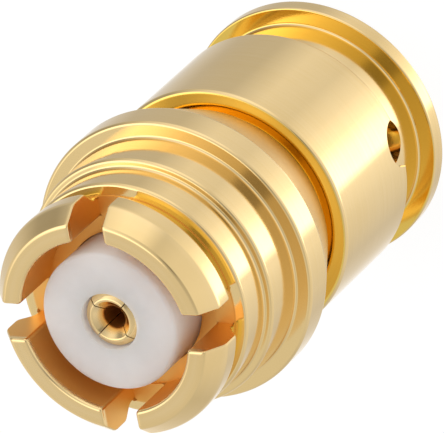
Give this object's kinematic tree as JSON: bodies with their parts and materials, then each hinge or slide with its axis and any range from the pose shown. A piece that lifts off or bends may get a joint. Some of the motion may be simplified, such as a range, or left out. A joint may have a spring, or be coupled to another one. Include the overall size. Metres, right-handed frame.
{
  "type": "coaxial cable connector",
  "caption": "Miniature push-on coaxial cable socket with slotted spring fingers, a stepped sleeve, a white insulator, a slit socket contact and a rear flange.",
  "frame": {"origin": "centre of the rear flange's back face, where the cable enters", "axes": "+Z along the connector's axis, from the rear flange to the slotted mouth; +X through the middle of one finger"},
  "size_m": [0.0038, 0.0038, 0.0061],
  "materials": {
    "body_gold": "bright gold plating on fine turned brass",
    "spring_gold": "bright gold plating on a turned spring alloy",
    "contact_gold": "gold plating on a turned spring alloy",
    "white_plastic": "waxy white fluoropolymer"
  },
  "bodies": {
    "root": {"front_sleeve": "spring_gold", "rear_body": "body_gold", "insulator": "white_plastic", "socket_contact": "contact_gold"}
  },
  "joints": []
}
